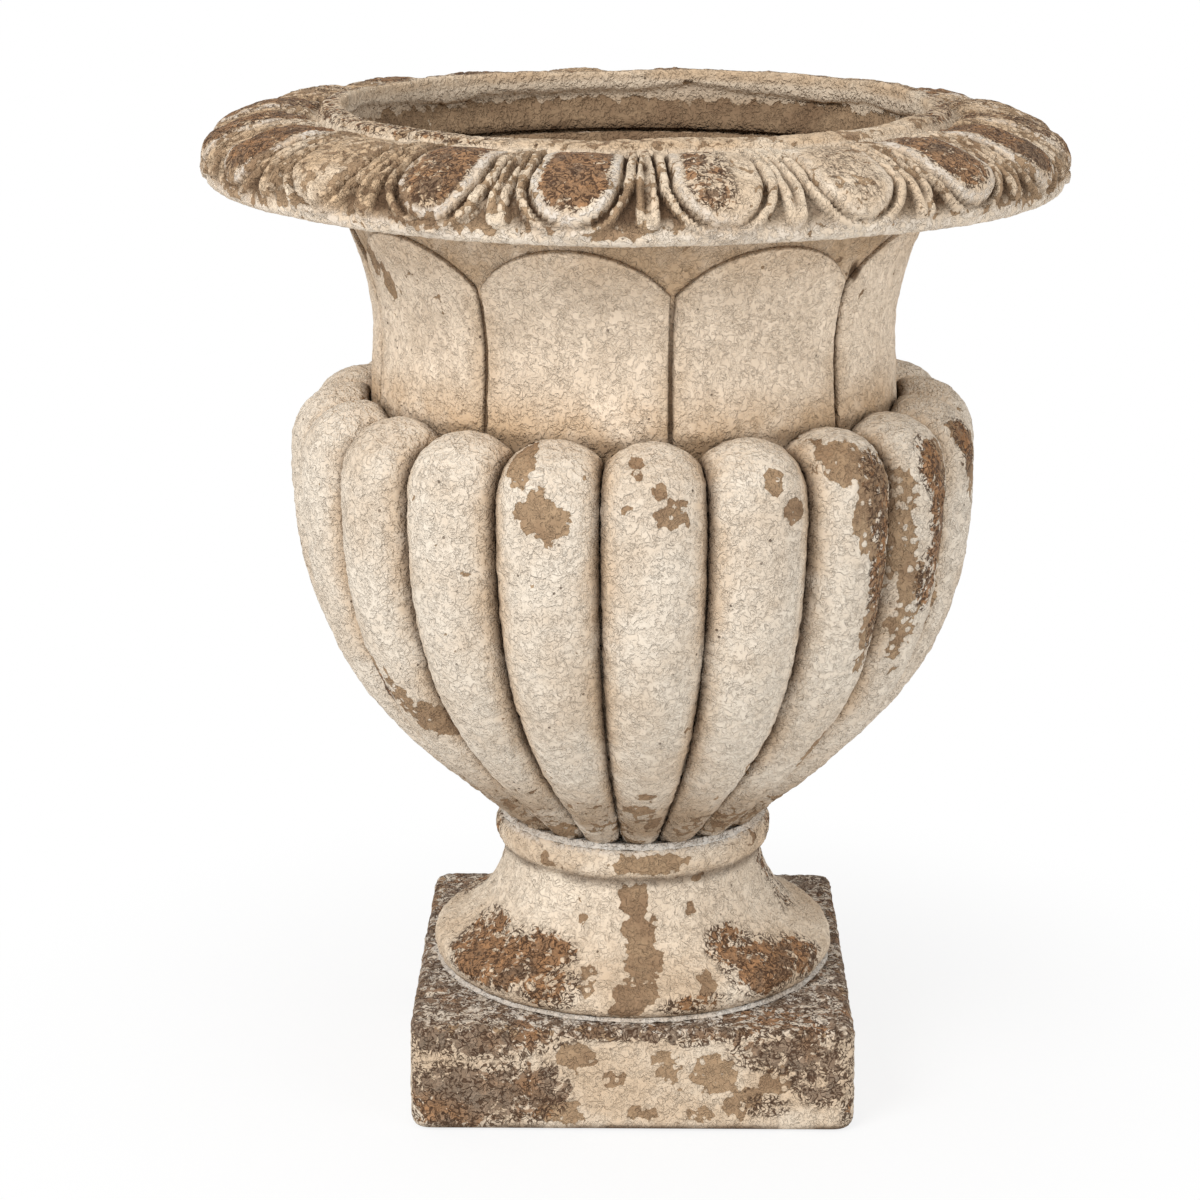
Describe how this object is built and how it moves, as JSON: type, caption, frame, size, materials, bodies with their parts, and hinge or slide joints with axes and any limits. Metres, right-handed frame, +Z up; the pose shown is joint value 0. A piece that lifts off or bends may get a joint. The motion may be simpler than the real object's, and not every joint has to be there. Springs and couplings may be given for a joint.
{
  "type": "urn flower pot",
  "caption": "Classical urn flower pot: gadrooned bowl, petalled neck and overhanging egg-and-dart rim on a turned foot and square plinth, with a drain hole.",
  "frame": {"origin": "middle of the plinth's underside, on the ground", "axes": "+Z up along the pot's axis; -Y is the side that faces the camera in the picture; the plinth's sides are square to X and Y"},
  "size_m": [0.3572, 0.3572, 0.42],
  "materials": {
    "plinth_finish": "weathered crackle",
    "foot_finish": "worn cream wash",
    "bowl_finish": "worn cream wash",
    "neck_finish": "matt cream wash",
    "rim_finish": "crackled brown wash",
    "mortar": "rough pale mortar"
  },
  "bodies": {
    "root": {"bowl": "bowl_finish", "foot": "foot_finish", "foot_bed": "mortar", "gadroon_01": "bowl_finish", "gadroon_02": "bowl_finish", "gadroon_03": "bowl_finish", "gadroon_04": "bowl_finish", "gadroon_05": "bowl_finish", "gadroon_06": "bowl_finish", "gadroon_07": "bowl_finish", "gadroon_08": "bowl_finish", "gadroon_09": "bowl_finish", "gadroon_10": "bowl_finish", "gadroon_11": "bowl_finish", "gadroon_12": "bowl_finish", "gadroon_13": "bowl_finish", "gadroon_14": "bowl_finish", "gadroon_15": "bowl_finish", "gadroon_16": "bowl_finish", "gadroon_17": "bowl_finish", "gadroon_18": "bowl_finish", "gadroon_19": "bowl_finish", "gadroon_20": "bowl_finish", "neck": "neck_finish", "neck_bed": "mortar", "petal_01": "neck_finish", "petal_02": "neck_finish", "petal_03": "neck_finish", "petal_04": "neck_finish", "petal_05": "neck_finish", "petal_06": "neck_finish", "petal_07": "neck_finish", "petal_08": "neck_finish", "petal_09": "neck_finish", "plinth": "plinth_finish", "plinth_bed": "mortar", "rim": "rim_finish", "rim_bed": "mortar"}
  },
  "joints": []
}
